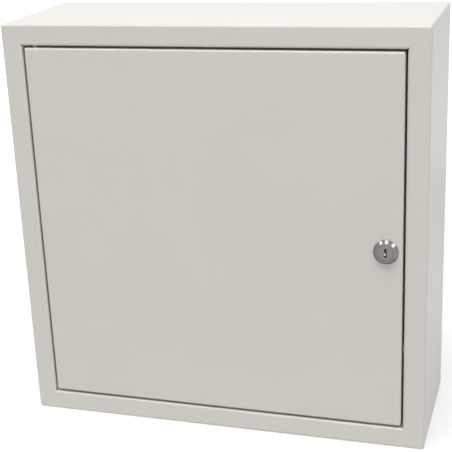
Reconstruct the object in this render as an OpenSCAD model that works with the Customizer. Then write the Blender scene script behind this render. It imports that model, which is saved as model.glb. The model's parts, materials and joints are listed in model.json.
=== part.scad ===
// Wall-mounted steel enclosure: a folded sheet-steel body, a flush door on two
// pivot pins, a key-operated quarter-turn cam lock, a galvanised mounting plate
// on studs and a gland plate over the cable entry in the floor.
//
// X is to the right, Y runs into the wall and Z is up. The origin is the centre
// of the rear face, which lies against the wall. Sizes are in millimetres.

/* [Body] */
// Overall width of the body
body_w = 400; // [320:5:800]
// Overall height of the body
body_h = 400; // [320:5:800]
// Depth from the wall to the front face
body_d = 140; // [110:5:300]
// Thickness of the body and door sheet
sheet = 1.2; // [1:0.1:1.6]
// Inside radius of every fold
bend_r = 1; // [0.6:0.1:1.4]
// Width of the front rim around the door
rim_w = 20; // [17:0.5:40]
// Depth of the back panel's folded edge
back_edge = 10; // [6:0.5:20]
// Slip between the back panel and the body
slip = 0.1; // [0.05:0.05:0.2]

/* [Door] */
// Gap all round between the door and the rim
door_gap = 2; // [1.8:0.1:3]
// Depth of the door's folded edge
door_d = 12; // [11:0.5:20]
// How much deeper the rim's lip is than the door's edge
lip_extra = 3; // [2:0.5:8]
// Distance of the door stops from the door's lock side
stop_in = 10; // [8:0.5:40]
// Width of a door stop
stop_w = 10; // [8:0.5:14]
// Height of a door stop's tab
stop_h = 9; // [6:0.5:14]

/* [Hinge] */
// Distance of the hinge axis from the door's edge
hinge_in = 9.5; // [9:0.5:14]
// Diameter of a hinge pin's thread
pin_d = 5; // [4.5:0.5:5.5]
// Diameter of a hinge pin's journal
journal_d = 4; // [3.5:0.1:4.2]
// Wall of a hinge bush
bush_wall = 1; // [0.8:0.1:1.5]
// Length of a hinge bush inside the door
bush_l = 4; // [3:0.5:8]
// Height of a hinge pin's slotted head
pin_head_h = 3; // [2:0.5:4]

/* [Lock] */
// Distance of the lock's axis from the door's edge
lock_in = 15; // [14.5:0.5:40]
// Height of the lock above the middle of the door
lock_z = -2.5; // [-80:0.5:80]
// Diameter of the lock's bezel
bezel_d = 23; // [22:0.5:28]
// How far the bezel stands proud of the door
bezel_h = 3.6; // [2.5:0.1:5]
// Height of the bezel's straight edge
bezel_edge = 1; // [0.5:0.1:1.5]
// Diameter of the threaded barrel
barrel_d = 19; // [18.5:0.5:20]
// Width across the barrel's two flats
barrel_flats = 16; // [15.5:0.1:17]
// Diameter of the plug's head
plug_head_d = 15; // [14:0.1:15.5]
// Diameter of the plug behind its head
plug_d = 12; // [11:0.1:12.4]
// Depth of the keyway
keyway_d = 10; // [6:0.5:11]
// Height of the keyway
keyway_h = 8.3; // [7:0.1:9]
// Width of the keyway
keyway_w = 2.4; // [1.8:0.1:2.8]
// Thickness of the lock's nut
lock_nut_t = 4; // [3:0.5:4.5]
// Wall of the lock's nut at its flats
lock_nut_wall = 1.5; // [1:0.1:1.5]
// Width of the cam
cam_w = 14; // [12:0.5:18]
// Thickness of the cam
cam_t = 2; // [1.5:0.1:3]
// How far the locked cam reaches behind the rim
cam_hold = 13.5; // [6:0.5:14.5]
// Side of the square that drives the cam
drive = 7; // [6:0.1:7.5]

/* [Mounting plate] */
// Distance of the plate's edges from the body's sides
plate_in = 30; // [24:1:50]
// Thickness of the mounting plate
plate_t = 2; // [1.5:0.1:3]
// Height of the plate above the back panel
plate_rise = 12; // [11:0.5:30]
// Diameter of the plate's studs
plate_stud_d = 6; // [5:1:8]
// Distance of the plate's studs from the body's sides
plate_stud_in = 50; // [45:1:70]
// Distance of the plate's studs from the body's top and bottom
plate_stud_down = 75; // [70:1:100]

/* [Wall fixing] */
// Diameter of the wall-fixing holes
wall_hole_d = 9; // [6:0.5:11]
// Distance of the wall-fixing holes from the body's sides
wall_hole_in = 37; // [30:1:45]

/* [Cable entry] */
// Distance of the cable entry from the body's sides
entry_in = 80; // [50:1:110]
// Distance of the cable entry from the front face and from the wall
entry_back = 35; // [32:1:45]
// Width of the seal around the cable entry
seal_w = 12; // [11:0.5:14]
// Thickness of the seal
seal_t = 2; // [1:0.1:4]
// Thickness of the gland plate
gland_t = 1.5; // [1:0.1:2.5]
// Diameter of the gland plate's studs
gland_stud_d = 5; // [4:1:5]

/* [Earthing] */
// Diameter of the earth studs
earth_stud_d = 6; // [5:1:6]
// Length of an earth stud
earth_stud_l = 16; // [14:0.5:20]
// Height of the body's earth stud above the base
body_earth_up = 80; // [40:1:150]
// Distance of the door's earth stud from the door's edges
door_earth_in = 28; // [20:1:60]

/* [Hidden] */
$fn = 64;

// Clearances
clear = 0.3;
run_fit = 0.05;
hole_fit = 0.1;
past = 1;

// Colours
paint = "#c8c6bf";
zinc = "#c3c7ca";
chrome = "#a9a7a3";
nylon = "#d5d3cc";
rubber = "#8f8f8c";
foam = "#3a3a3a";

// Body
front = -body_d;
half_w = body_w / 2;
half_h = body_h / 2;
bend_o = bend_r + sheet;
open_hw = half_w - rim_w;
open_hh = half_h - rim_w;
lip_d = door_d + lip_extra;
relief_r = sqrt(2) * sheet + hole_fit;
back_hw = half_w - sheet - slip;
back_hh = half_h - sheet - slip;

// Door
door_hw = open_hw - door_gap;
door_hh = open_hh - door_gap;
stop_x = door_hw - stop_in;
stop_front = front + lip_d + bend_r;
stop_leg = 9;
buffer_w = stop_w - 2;
buffer_h = 4.5;

// Hinge
pin_r = pin_d / 2;
pin_head_out = 1.5;
journal_r = journal_d / 2;
bush_r = journal_r + run_fit + bush_wall;
flange_out = 0.8;
flange_r = bush_r + flange_out;
hinge_x = -door_hw + hinge_in;
hinge_y = front + bend_o + flange_r + hole_fit;
bush_end = door_hh - sheet - bush_l;
lip_back = open_hh + sheet;

// Lock, from front to back
lock_x = door_hw - lock_in;
bezel_r = bezel_d / 2;
bezel_face_r = bezel_r - (bezel_h - bezel_edge);
barrel_r = barrel_d / 2;
plug_sunk = 0.2;
plug_front = front - bezel_h + plug_sunk;
plug_head_t = 3.2;
cam_gap = 0.4;
cam_front = front + lip_d + cam_gap;
disc_t = 1.4;
ear_out = 0.8;
disc_front = cam_front - disc_t;
barrel_end = disc_front - clear;
boss_end = cam_front - clear;
boss_r = plug_d / 2 + cam_gap;
ear_w = 4;
ear_r = barrel_flats / 2 + ear_out;
ear_turn = asin((ear_w / 2 + clear) / boss_r);
cam_back = cam_front + cam_t;
cam_reach = lock_in + door_gap + cam_hold;
cam_screw_d = 4;
cam_screw_l = 8;
cam_washer_t = 1;
lock_nut_af = barrel_d + 2 * lock_nut_wall;
lock_washer_r = lock_nut_af / 2 + 1;
lock_washer_t = 1;

// Mounting plate
plate_hw = half_w - plate_in;
plate_hh = half_h - plate_in;
plate_stud_x = half_w - plate_stud_in;
plate_stud_z = half_h - plate_stud_down;
plate_back = -sheet - plate_rise;
plate_front = plate_back - plate_t;
driver_room = 20;
plate_corner = 2 * (wall_hole_in - plate_in) + driver_room;

// Wall fixing
wall_hole_x = half_w - wall_hole_in;
wall_hole_z = half_h - wall_hole_in;

// Cable entry
entry_hw = half_w - entry_in;
entry_hd = body_d / 2 - entry_back;
entry_y = -body_d / 2;
floor_z = -half_h + sheet;
gland_stud_x = entry_hw + seal_w / 2;
gland_stud_y = entry_hd + seal_w / 2;

// Earthing
body_earth_x = -(plate_hw + back_hw - sheet) / 2;
body_earth_z = -half_h + body_earth_up;
door_earth_x = -door_hw + door_earth_in;
door_earth_z = -door_hh + door_earth_in;
door_inner = front + sheet;

// Metric fasteners: sizes that follow from the thread's diameter
stud_over = 3;
function nut_af(d) = 5 / 3 * d;
function nut_t(d) = 0.8 * d;
function washer_t(d) = 0.2 * d;

// ---- Shapes that repeat ----

// Round bar along Y from y0 to y1
module bar_y(y0, y1, r) {
    translate([0, y0, 0]) rotate([-90, 0, 0]) cylinder(h = y1 - y0, r = r);
}

// Hexagon nut standing on z = 0, with both ends chamfered
module hex_nut(af, t, bore_r) {
    corner_r = af / 2 / cos(30);
    edge = (corner_r - af / 2) * tan(30);
    difference() {
        intersection() {
            cylinder(h = t, r = corner_r, $fn = 6);
            rotate_extrude() polygon([
                [0, 0], [af / 2, 0], [corner_r, edge],
                [corner_r, t - edge], [af / 2, t], [0, t]
            ]);
        }
        translate([0, 0, -past]) cylinder(h = t + 2 * past, r = bore_r);
    }
}

// Flat washer standing on z = 0
module washer(r, t, bore_r) {
    difference() {
        cylinder(h = t, r = r);
        translate([0, 0, -past]) cylinder(h = t + 2 * past, r = bore_r);
    }
}

// Washer and nut for a stud of diameter d, both standing on z = 0
module stud_washer(d) {
    washer(d, washer_t(d), d / 2 + hole_fit);
}

module stud_nut(d) {
    hex_nut(nut_af(d), nut_t(d), d / 2 + run_fit);
}

// Stud standing on z = 0, with a chamfered tip
module stud(d, l) {
    tip = 0.6;
    rotate_extrude() polygon([
        [0, 0], [d / 2, 0], [d / 2, l - tip], [d / 2 - tip, l], [0, l]
    ]);
}

// Turns a shape that stands on z = 0 to stand on the back panel, pointing forward
module forward() {
    rotate([90, 0, 0]) children();
}

// Turns a shape that stands on z = 0 to point at the back
module backward() {
    rotate([-90, 0, 0]) children();
}

// Quarter of a fold's section, about the fold's centre
module quarter_fold() {
    difference() {
        intersection() {
            circle(r = bend_o);
            square(2 * bend_o);
        }
        circle(r = bend_r);
    }
}

// Section of a folded edge: the fold itself, and the flange up to depth d.
// The fold's centre is the origin and the flange stands on the +X side.
module edge_section(d) {
    rotate(-90) quarter_fold();
    translate([bend_r, 0]) square([sheet, d - bend_o]);
}

// Shallow pan of folded sheet with welded corners: its face lies on z = 0
// and its edges stand up to z = d
module pan(hw, hh, d) {
    translate([-hw + bend_o, -hh + bend_o, 0]) cube([2 * (hw - bend_o), 2 * (hh - bend_o), sheet]);
    for (i = [0:3]) {
        across = i % 2 == 0 ? hw : hh;
        along = i % 2 == 0 ? hh : hw;
        rotate(90 * i) translate([across - bend_o, along - bend_o, bend_o]) {
            rotate([90, 0, 0]) linear_extrude(2 * (along - bend_o)) edge_section(d);
            rotate_extrude(angle = 90) edge_section(d);
        }
    }
}

// Lip folded back from the rim on one side of the door opening, mitred at both
// ends. The opening's centre is the origin and the lip is on the +X side.
module lip(across, along) {
    reach = bend_o + past;
    intersection() {
        translate([across + bend_o, along + bend_o, bend_o]) rotate([90, 0, 0])
            linear_extrude(2 * (along + bend_o)) mirror([1, 0, 0]) edge_section(lip_d);
        translate([0, 0, -past]) linear_extrude(lip_d + 2 * past) polygon([
            [across - reach, along - reach], [across + reach, along + reach],
            [across + reach, -along - reach], [across - reach, -along + reach]
        ]);
    }
}

// One child at each of the four places [+-x, 0, +-z]
module four(x, z) {
    for (sx = [-1, 1], sz = [-1, 1]) translate([sx * x, 0, sz * z]) children();
}

// One child at each of the gland plate's studs, on the floor
module at_gland_studs() {
    for (sx = [-1, 0, 1], sy = [-1, 1])
        translate([sx * gland_stud_x, entry_y + sy * gland_stud_y, floor_z]) children();
}

// The lock's own axis: z is Y of the enclosure, x is to the right and y is down
module lock_axis() {
    translate([lock_x, 0, lock_z]) rotate([-90, 0, 0]) children();
}

// A shape made for the top of the door opening, and its mirror image at the bottom
module top_and_bottom() {
    children();
    mirror([0, 0, 1]) children();
}

// ---- Body ----

// Body: walls, front rim and lip folded from one sheet, open at the back
module body_shell() {
    color(paint) difference() {
        translate([0, front, 0]) backward() {
            difference() {
                pan(half_w, half_h, body_d);
                translate([-open_hw - bend_o, -open_hh - bend_o, -past])
                    cube([2 * (open_hw + bend_o), 2 * (open_hh + bend_o), sheet + 2 * past]);
            }
            for (i = [0:3]) rotate(90 * i)
                lip(i % 2 == 0 ? open_hw : open_hh, i % 2 == 0 ? open_hh : open_hw);
        }
        // Relief notches where the lips' folds meet
        four(open_hw, open_hh) bar_y(front - past, front + lip_d + past, relief_r);
        // Hinge pin holes
        top_and_bottom() translate([hinge_x, hinge_y, open_hh - past])
            cylinder(h = sheet + 2 * past, r = pin_r + hole_fit);
        // Cable entry
        translate([-entry_hw, entry_y - entry_hd, -half_h - past])
            cube([2 * entry_hw, 2 * entry_hd, sheet + 2 * past]);
    }
}

// Back panel: a pan that fits inside the body, flush with its rear edge
module back_panel() {
    color(paint) difference() {
        forward() pan(back_hw, back_hh, back_edge);
        four(wall_hole_x, wall_hole_z) bar_y(-sheet - past, past, wall_hole_d / 2);
    }
}

// Door stops: angles welded on the lip, with a tab behind the door's edge
module door_stops() {
    color(paint) top_and_bottom() translate([stop_x - stop_w / 2, 0, 0]) {
        rotate([90, 0, 90]) linear_extrude(stop_w)
            translate([stop_front - bend_r, lip_back - bend_r]) {
                quarter_fold();
                translate([bend_r, -stop_h]) square([sheet, stop_h]);
                translate([-stop_leg, bend_r]) square([stop_leg, sheet]);
            }
    }
}

// Buffers on the stops' tabs, which the door's edge closes against
module stop_buffers() {
    depth = stop_front - (front + door_d + clear);
    color(rubber) top_and_bottom()
        translate([stop_x - buffer_w / 2, stop_front - depth, door_hh - buffer_h])
            cube([buffer_w, depth, buffer_h]);
}

// Hinge pin: a thinner journal below the thread, and a slotted head in the rim
module hinge_pin() {
    journal_top = door_hh + clear;
    head_low = lip_back + nut_t(pin_d);
    slot = 1;
    translate([hinge_x, hinge_y, 0]) difference() {
        union() {
            translate([0, 0, bush_end]) cylinder(h = journal_top - bush_end, r = journal_r);
            translate([0, 0, journal_top]) cylinder(h = head_low - journal_top, r = pin_r);
            translate([0, 0, head_low]) cylinder(h = pin_head_h, r = pin_r + pin_head_out);
        }
        translate([-pin_d, -slot / 2, head_low + pin_head_h - slot]) cube([2 * pin_d, slot, 2 * slot]);
    }
}

module upper_hinge_pin() {
    color(zinc) hinge_pin();
}

module lower_hinge_pin() {
    color(zinc) mirror([0, 0, 1]) hinge_pin();
}

// Nuts welded behind the lip, which hold the hinge pins
module hinge_nuts() {
    color(zinc) top_and_bottom() translate([hinge_x, hinge_y, lip_back]) stud_nut(pin_d);
}

// ---- Mounting plate ----

// Mounting plate, with corners cut back to leave room for the wall fixings
module mounting_plate() {
    corner_x = plate_hw - plate_corner;
    corner_z = plate_hh - plate_corner;
    color(zinc) difference() {
        translate([0, plate_front, 0]) backward() linear_extrude(plate_t) polygon([
            [plate_hw, corner_z], [corner_x, plate_hh], [-corner_x, plate_hh], [-plate_hw, corner_z],
            [-plate_hw, -corner_z], [-corner_x, -plate_hh], [corner_x, -plate_hh], [plate_hw, -corner_z]
        ]);
        four(plate_stud_x, plate_stud_z)
            bar_y(plate_front - past, plate_back + past, plate_stud_d / 2 + clear);
    }
}

// Studs welded to the back panel
module plate_studs() {
    length = plate_rise + plate_t + washer_t(plate_stud_d) + nut_t(plate_stud_d) + stud_over;
    color(zinc) four(plate_stud_x, plate_stud_z) translate([0, -sheet, 0])
        forward() stud(plate_stud_d, length);
}

// Spacer tubes that hold the plate off the back panel
module plate_spacers() {
    color(zinc) four(plate_stud_x, plate_stud_z) translate([0, -sheet, 0])
        forward() washer(plate_stud_d, plate_rise, plate_stud_d / 2 + hole_fit);
}

module plate_washers() {
    color(zinc) four(plate_stud_x, plate_stud_z) translate([0, plate_front, 0])
        forward() stud_washer(plate_stud_d);
}

module plate_nuts() {
    color(zinc) four(plate_stud_x, plate_stud_z)
        translate([0, plate_front - washer_t(plate_stud_d), 0]) forward() stud_nut(plate_stud_d);
}

// ---- Earthing ----

// Earth stud on the back panel, beside the mounting plate
module body_earth_stud() {
    color(zinc) translate([body_earth_x, -sheet, body_earth_z])
        forward() stud(earth_stud_d, earth_stud_l);
}

module body_earth_washer() {
    color(zinc) translate([body_earth_x, -sheet, body_earth_z]) forward() stud_washer(earth_stud_d);
}

module body_earth_nut() {
    color(zinc) translate([body_earth_x, -sheet - washer_t(earth_stud_d), body_earth_z])
        forward() stud_nut(earth_stud_d);
}

// Earth stud on the inside of the door
module door_earth_stud() {
    color(zinc) translate([door_earth_x, door_inner, door_earth_z])
        backward() stud(earth_stud_d, earth_stud_l);
}

module door_earth_washer() {
    color(zinc) translate([door_earth_x, door_inner, door_earth_z]) backward() stud_washer(earth_stud_d);
}

module door_earth_nut() {
    color(zinc) translate([door_earth_x, door_inner + washer_t(earth_stud_d), door_earth_z])
        backward() stud_nut(earth_stud_d);
}

// ---- Cable entry ----

// Flat layer over the cable entry, with holes for the studs
module entry_layer(z, t) {
    difference() {
        translate([-entry_hw - seal_w, entry_y - entry_hd - seal_w, z])
            cube([2 * (entry_hw + seal_w), 2 * (entry_hd + seal_w), t]);
        at_gland_studs() cylinder(h = seal_t + gland_t + past, r = gland_stud_d / 2 + hole_fit);
    }
}

module gland_plate() {
    color(zinc) entry_layer(floor_z + seal_t, gland_t);
}

// Foam seal between the floor and the gland plate
module gland_seal() {
    color(foam) difference() {
        entry_layer(floor_z, seal_t);
        translate([-entry_hw, entry_y - entry_hd, floor_z - past])
            cube([2 * entry_hw, 2 * entry_hd, seal_t + 2 * past]);
    }
}

// Studs welded to the floor
module gland_studs() {
    length = seal_t + gland_t + washer_t(gland_stud_d) + nut_t(gland_stud_d) + stud_over;
    color(zinc) at_gland_studs() stud(gland_stud_d, length);
}

module gland_washers() {
    color(zinc) at_gland_studs() translate([0, 0, seal_t + gland_t]) stud_washer(gland_stud_d);
}

module gland_nuts() {
    color(zinc) at_gland_studs() translate([0, 0, seal_t + gland_t + washer_t(gland_stud_d)])
        stud_nut(gland_stud_d);
}

// ---- Door ----

// Barrel of the lock in section: a circle with two flats
module barrel_section(grow) {
    intersection() {
        circle(r = barrel_r + grow);
        square([barrel_flats + 2 * grow, 3 * barrel_r], center = true);
    }
}

// Door: a pan with a shaped hole for the lock and two holes for the hinge bushes
module door_panel() {
    color(paint) difference() {
        translate([0, front, 0]) backward() pan(door_hw, door_hh, door_d);
        lock_axis() translate([0, 0, front - past]) linear_extrude(sheet + 2 * past)
            barrel_section(hole_fit);
        top_and_bottom() translate([hinge_x, hinge_y, door_hh - sheet - past])
            cylinder(h = sheet + 2 * past, r = bush_r + run_fit);
    }
}

// Hinge bush, pressed into the door's edge from the inside up to its flange
module hinge_bush() {
    flange_t = 1.2;
    translate([hinge_x, hinge_y, 0]) difference() {
        union() {
            translate([0, 0, bush_end]) cylinder(h = door_hh - bush_end, r = bush_r);
            translate([0, 0, door_hh - sheet - flange_t]) cylinder(h = flange_t, r = flange_r);
        }
        translate([0, 0, bush_end - past])
            cylinder(h = door_hh - bush_end + 2 * past, r = journal_r + run_fit);
    }
}

module upper_hinge_bush() {
    color(nylon) hinge_bush();
}

module lower_hinge_bush() {
    color(nylon) mirror([0, 0, 1]) hinge_bush();
}

// ---- Lock ----

// Housing: a chamfered bezel and a barrel with two flats. Behind the barrel a
// ring of it stands on to stop the ear of the stop disc a quarter turn apart.
module lock_housing() {
    window = 2 * barrel_r;
    low = -ear_turn;
    high = 90 + ear_turn;
    color(chrome) lock_axis() difference() {
        union() {
            translate([0, 0, front - bezel_h]) rotate_extrude() polygon([
                [0, 0], [bezel_face_r, 0], [bezel_r, bezel_h - bezel_edge], [bezel_r, bezel_h], [0, bezel_h]
            ]);
            translate([0, 0, front]) linear_extrude(boss_end - front) barrel_section(0);
        }
        translate([0, 0, front - bezel_h - past])
            cylinder(h = plug_sunk + plug_head_t + clear + past, r = plug_head_d / 2 + run_fit);
        translate([0, 0, front - bezel_h]) cylinder(h = body_d, r = plug_d / 2 + run_fit);
        translate([0, 0, barrel_end]) cylinder(h = body_d, r = boss_r);
        // Room for the ear to turn from pointing down to pointing at the rim
        translate([0, 0, barrel_end]) linear_extrude(body_d) polygon([
            [0, 0], window * [cos(low), sin(low)],
            window * [2, 2], window * [cos(high), sin(high)]
        ]);
    }
}

module lock_washer() {
    color(zinc) lock_axis() translate([0, 0, door_inner])
        washer(lock_washer_r, lock_washer_t, barrel_r + hole_fit);
}

module lock_nut() {
    color(zinc) lock_axis() translate([0, 0, door_inner + lock_washer_t])
        rotate(30) hex_nut(lock_nut_af, lock_nut_t, barrel_r + run_fit);
}

// Keyway in section, with one warding rib on each side
module keyway_section() {
    rib = 0.6;
    difference() {
        square([keyway_w, keyway_h], center = true);
        translate([-keyway_w / 2 - past, -0.1 * keyway_h]) square([rib + past, 0.2 * keyway_h]);
        translate([keyway_w / 2 - rib, -0.4 * keyway_h]) square([rib + past, 0.18 * keyway_h]);
    }
}

// Plug: the part that the key turns, with a square at the back for the cam
module lock_plug() {
    head_edge = 0.4;
    head_r = plug_head_d / 2;
    color(chrome) lock_axis() difference() {
        union() {
            translate([0, 0, plug_front]) rotate_extrude() polygon([
                [0, 0], [head_r - head_edge, 0], [head_r, head_edge], [head_r, plug_head_t], [0, plug_head_t]
            ]);
            translate([0, 0, plug_front]) cylinder(h = disc_front - plug_front, r = plug_d / 2);
            translate([-drive / 2, -drive / 2, plug_front]) cube([drive, drive, cam_back - plug_front]);
        }
        translate([0, 0, plug_front - past]) linear_extrude(keyway_d + past) keyway_section();
        translate([0, 0, cam_back - cam_screw_l]) cylinder(h = cam_screw_l + past, r = cam_screw_d / 2 + hole_fit);
    }
}

// Square hole that fits over the plug's drive
module drive_hole() {
    side = drive + 2 * hole_fit;
    square([side, side], center = true);
}

// Stop disc: its ear moves in the housing's window and limits the turn
module lock_stop_disc() {
    color(zinc) lock_axis() translate([0, 0, disc_front]) linear_extrude(disc_t) difference() {
        union() {
            circle(r = plug_d / 2);
            translate([-ear_w / 2, 0]) square([ear_w, ear_r]);
        }
        drive_hole();
    }
}

// Cam: at rest it points down, and a quarter turn takes it behind the rim
module lock_cam() {
    tip = 4;
    color(zinc) lock_axis() translate([0, 0, cam_front]) linear_extrude(cam_t) difference() {
        union() {
            intersection() {
                circle(r = cam_w / 2);
                translate([-cam_w, -2 * cam_w]) square(2 * cam_w);
            }
            polygon([
                [-cam_w / 2, 0], [cam_w / 2, 0], [cam_w / 2, cam_reach - tip],
                [cam_w / 2 - tip, cam_reach], [tip - cam_w / 2, cam_reach], [-cam_w / 2, cam_reach - tip]
            ]);
        }
        drive_hole();
    }
}

module cam_washer() {
    color(zinc) lock_axis() translate([0, 0, cam_back])
        washer(cam_screw_d * 1.5, cam_washer_t, cam_screw_d / 2 + hole_fit);
}

// Screw that holds the cam on the plug
module cam_screw() {
    head_t = 2.6;
    slot = 1;
    head_low = cam_back + cam_washer_t;
    color(zinc) lock_axis() difference() {
        union() {
            translate([0, 0, cam_back - cam_screw_l + past])
                cylinder(h = head_low - cam_back + cam_screw_l - past, r = cam_screw_d / 2);
            translate([0, 0, head_low]) cylinder(h = head_t, r = cam_screw_d);
        }
        translate([-2 * cam_screw_d, -slot / 2, head_low + head_t - slot])
            cube([4 * cam_screw_d, slot, 2 * slot]);
    }
}

body_shell();
back_panel();
door_stops();
stop_buffers();
upper_hinge_pin();
lower_hinge_pin();
hinge_nuts();
mounting_plate();
plate_studs();
plate_spacers();
plate_washers();
plate_nuts();
body_earth_stud();
body_earth_washer();
body_earth_nut();
gland_plate();
gland_seal();
gland_studs();
gland_washers();
gland_nuts();
door_panel();
upper_hinge_bush();
lower_hinge_bush();
lock_housing();
lock_washer();
lock_nut();
door_earth_stud();
door_earth_washer();
door_earth_nut();
lock_plug();
lock_stop_disc();
lock_cam();
cam_washer();
cam_screw();
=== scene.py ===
"""Looks of a wall-mounted sheet-steel enclosure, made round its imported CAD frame.

Lengths are in millimetres but where a text says metres, and each shape is turned to metres
once, in the row frame: X to the right, Y into the wall, Z up. Places come from the CAD
nodes' boxes and from the joints.
"""

import functools
import json
import logging
import math
from collections.abc import Sequence
from dataclasses import dataclass
from enum import Enum

import bmesh
import bpy
from bmesh.types import BMEdge, BMesh, BMVert
from bpy.types import Material, NodeSocket, NodeTree, Object, bpy_prop_collection
from mathutils import Matrix, Vector


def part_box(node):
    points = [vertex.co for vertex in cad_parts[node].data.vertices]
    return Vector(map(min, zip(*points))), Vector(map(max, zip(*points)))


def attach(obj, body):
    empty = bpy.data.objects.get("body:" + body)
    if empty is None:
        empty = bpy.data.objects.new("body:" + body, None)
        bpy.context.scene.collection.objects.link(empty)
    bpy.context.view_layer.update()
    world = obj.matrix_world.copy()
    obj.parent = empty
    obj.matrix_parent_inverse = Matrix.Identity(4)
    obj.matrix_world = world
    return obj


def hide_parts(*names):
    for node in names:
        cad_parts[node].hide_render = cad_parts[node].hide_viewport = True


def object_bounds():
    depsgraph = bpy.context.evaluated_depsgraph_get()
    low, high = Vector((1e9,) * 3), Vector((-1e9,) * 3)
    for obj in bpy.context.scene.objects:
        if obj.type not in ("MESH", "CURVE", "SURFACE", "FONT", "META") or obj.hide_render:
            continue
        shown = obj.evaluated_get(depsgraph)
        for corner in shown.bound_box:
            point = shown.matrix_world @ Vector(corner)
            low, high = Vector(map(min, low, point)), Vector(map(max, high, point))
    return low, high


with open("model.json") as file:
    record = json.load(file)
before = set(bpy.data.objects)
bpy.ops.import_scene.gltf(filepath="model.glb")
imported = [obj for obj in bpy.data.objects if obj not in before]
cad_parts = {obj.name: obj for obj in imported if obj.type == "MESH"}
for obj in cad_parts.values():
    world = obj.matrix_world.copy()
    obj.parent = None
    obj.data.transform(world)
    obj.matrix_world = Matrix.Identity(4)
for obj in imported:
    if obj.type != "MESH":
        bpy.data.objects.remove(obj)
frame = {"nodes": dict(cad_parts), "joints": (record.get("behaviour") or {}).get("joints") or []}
cad_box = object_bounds()

MM = 0.001  # In metres.
WELD = 0.0005  # Points nearer than this become one.
CAD_WELD = 0.002  # The same for the loose triangles of a CAD node.
ON_LINE = 0.01  # Points nearer than this to a line count as on it.
FACING = 0.9  # The least share of a normal that counts as facing a side.
PAST = 1.0  # How far a cutting shape reaches past what it cuts.
DRIVER_SLOT = (1.0, 1.0)  # Width and depth of a screwdriver slot.
M5, M6 = (2.5, 0.8), (3.0, 1.0)  # Outer radius and pitch of two threads.
CORNERS = ((-1, -1), (-1, 1), (1, -1), (1, 1))  # The sides of a square's corners.
NOISE_SPAN = {"From Min": 0.3, "From Max": 0.7}  # Where most values of a noise lie.
LOG = logging.getLogger("enclosure")
Pair = tuple[float, float]
Triple = tuple[float, float, float]


class Body(Enum):
    """The rigid bodies that pieces ride on."""

    ENCLOSURE = "enclosure"
    DOOR = "door"
    LOCK_CORE = "lock_core"


class Slot(Enum):
    """The record's material slots."""

    PAINT = "powder_coated_steel"
    GALVANISED = "galvanised_steel"
    ZINC = "zinc_plated_steel"
    CHROME = "satin_chrome"
    NYLON = "nylon"
    RUBBER = "buffer_rubber"
    FOAM = "seal_foam"


# ---- Finishes


def linear(code: str) -> tuple[float, float, float, float]:
    """Turns an sRGB hex colour to linear light.

    Args:
        code: Six hex digits with a leading #.

    Returns:
        Red, green, blue and an alpha of 1.
    """
    parts = [int(code[i : i + 2], 16) / 255 for i in (1, 3, 5)]
    return (*(c / 12.92 if c <= 0.04045 else ((c + 0.055) / 1.055) ** 2.4 for c in parts), 1.0)


def scale_of(width: float) -> float:
    """Gives the scale of a pattern whose cells have a width."""
    return 1 / (width * MM)


def set_all(thing: object, settings: dict[str, object]) -> None:
    """Sets several attributes of a thing."""
    for name, value in settings.items():
        setattr(thing, name, value)


def put(
    tree: NodeTree, kind: str, inputs: dict | None = None, **settings: object
) -> bpy_prop_collection:
    """Adds a shader node with its settings, and fills or links its inputs.

    Args:
        tree: The node tree of a material or of the world.
        kind: The node's type, without ShaderNode in front.
        inputs: Socket name or number to a value or to another node's output.
        **settings: The node's own settings.

    Returns:
        The new node's outputs.
    """
    node = tree.nodes.new("ShaderNode" + kind)
    set_all(node, settings)
    for name, value in (inputs or {}).items():
        if isinstance(value, NodeSocket):
            tree.links.new(value, node.inputs[name])
        else:
            node.inputs[name].default_value = value
    return node.outputs


@dataclass(frozen=True)
class Finish:
    """A finish that covers a piece all over.

    Args:
        name: The material's name.
        slot: The record's slot that it belongs to. It is not used.
        colour: Its main colour.
        second: The colour that it drifts towards in patches.
        roughness: How blurred its reflections are.
    """

    name: str
    slot: Slot
    colour: str
    second: str
    roughness: float

    def start(self) -> tuple[Material, NodeTree, NodeSocket]:
        """Makes the material, still without its shader.

        Returns:
            The material, its node tree and the object coordinates.
        """
        material = bpy.data.materials.new(self.name)
        material.use_nodes = True
        material.diffuse_color = linear(self.colour)
        tree = material.node_tree
        tree.nodes.clear()
        return material, tree, put(tree, "TexCoord")["Object"]

    def shaded(self, material: Material, inputs: dict) -> Material:
        """Gives the material its shader.

        Args:
            material: The material.
            inputs: Name of the shader's input to a value or to a node's output.

        Returns:
            The same material.
        """
        shader = put(material.node_tree, "BsdfPrincipled", inputs)
        put(material.node_tree, "OutputMaterial", {"Surface": shader["BSDF"]})
        return material

    def drift(self, tree: NodeTree, where: NodeSocket, patch: float) -> NodeSocket:
        """Blends the two colours in soft patches.

        Args:
            tree: The material's node tree.
            where: The coordinates.
            patch: The width of a patch.

        Returns:
            The colour's socket.
        """
        noise = put(tree, "TexNoise", {"Vector": where, "Scale": scale_of(patch), "Detail": 3.0})
        share = put(tree, "MapRange", {"Value": noise["Fac"], **NOISE_SPAN})["Result"]
        return self.blend(tree, share)

    def blend(self, tree: NodeTree, share: NodeSocket) -> NodeSocket:
        """Blends the two colours by a share."""
        colours = {6: linear(self.colour), 7: linear(self.second)}
        return put(tree, "Mix", {0: share, **colours}, data_type="RGBA")[2]

    def material(self) -> Material:
        """Makes the finish as a material.

        Returns:
            The material.
        """
        raise NotImplementedError


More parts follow.
